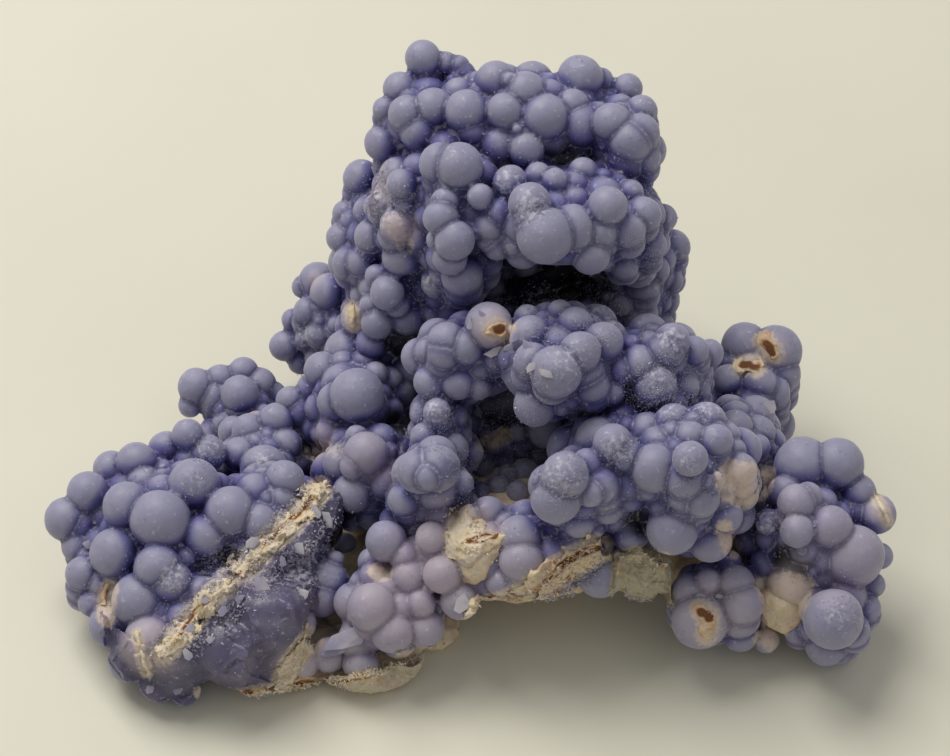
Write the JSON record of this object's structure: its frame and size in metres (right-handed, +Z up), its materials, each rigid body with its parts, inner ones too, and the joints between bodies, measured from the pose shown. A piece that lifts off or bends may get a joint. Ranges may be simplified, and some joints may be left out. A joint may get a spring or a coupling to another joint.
{
  "type": "botryoidal chalcedony specimen",
  "caption": "Cluster of round purple chalcedony grapes grown together on pale host rock, with a back tower, two low arms, caves between them and a flat cut base.",
  "frame": {"origin": "on the table, under the middle of the specimen's outline seen from above", "axes": "+X to the right of the broken front, +Y to the back tower, +Z up; the cut that it rests on is z = 0"},
  "size_m": [0.1091, 0.0759, 0.0533],
  "materials": {
    "chalcedony": "waxy, translucent, frosted",
    "host_rock": "chalky, crumbly, matt"
  },
  "bodies": {
    "root": {"chalcedony_crust": "chalcedony", "matrix": "host_rock"}
  },
  "joints": []
}
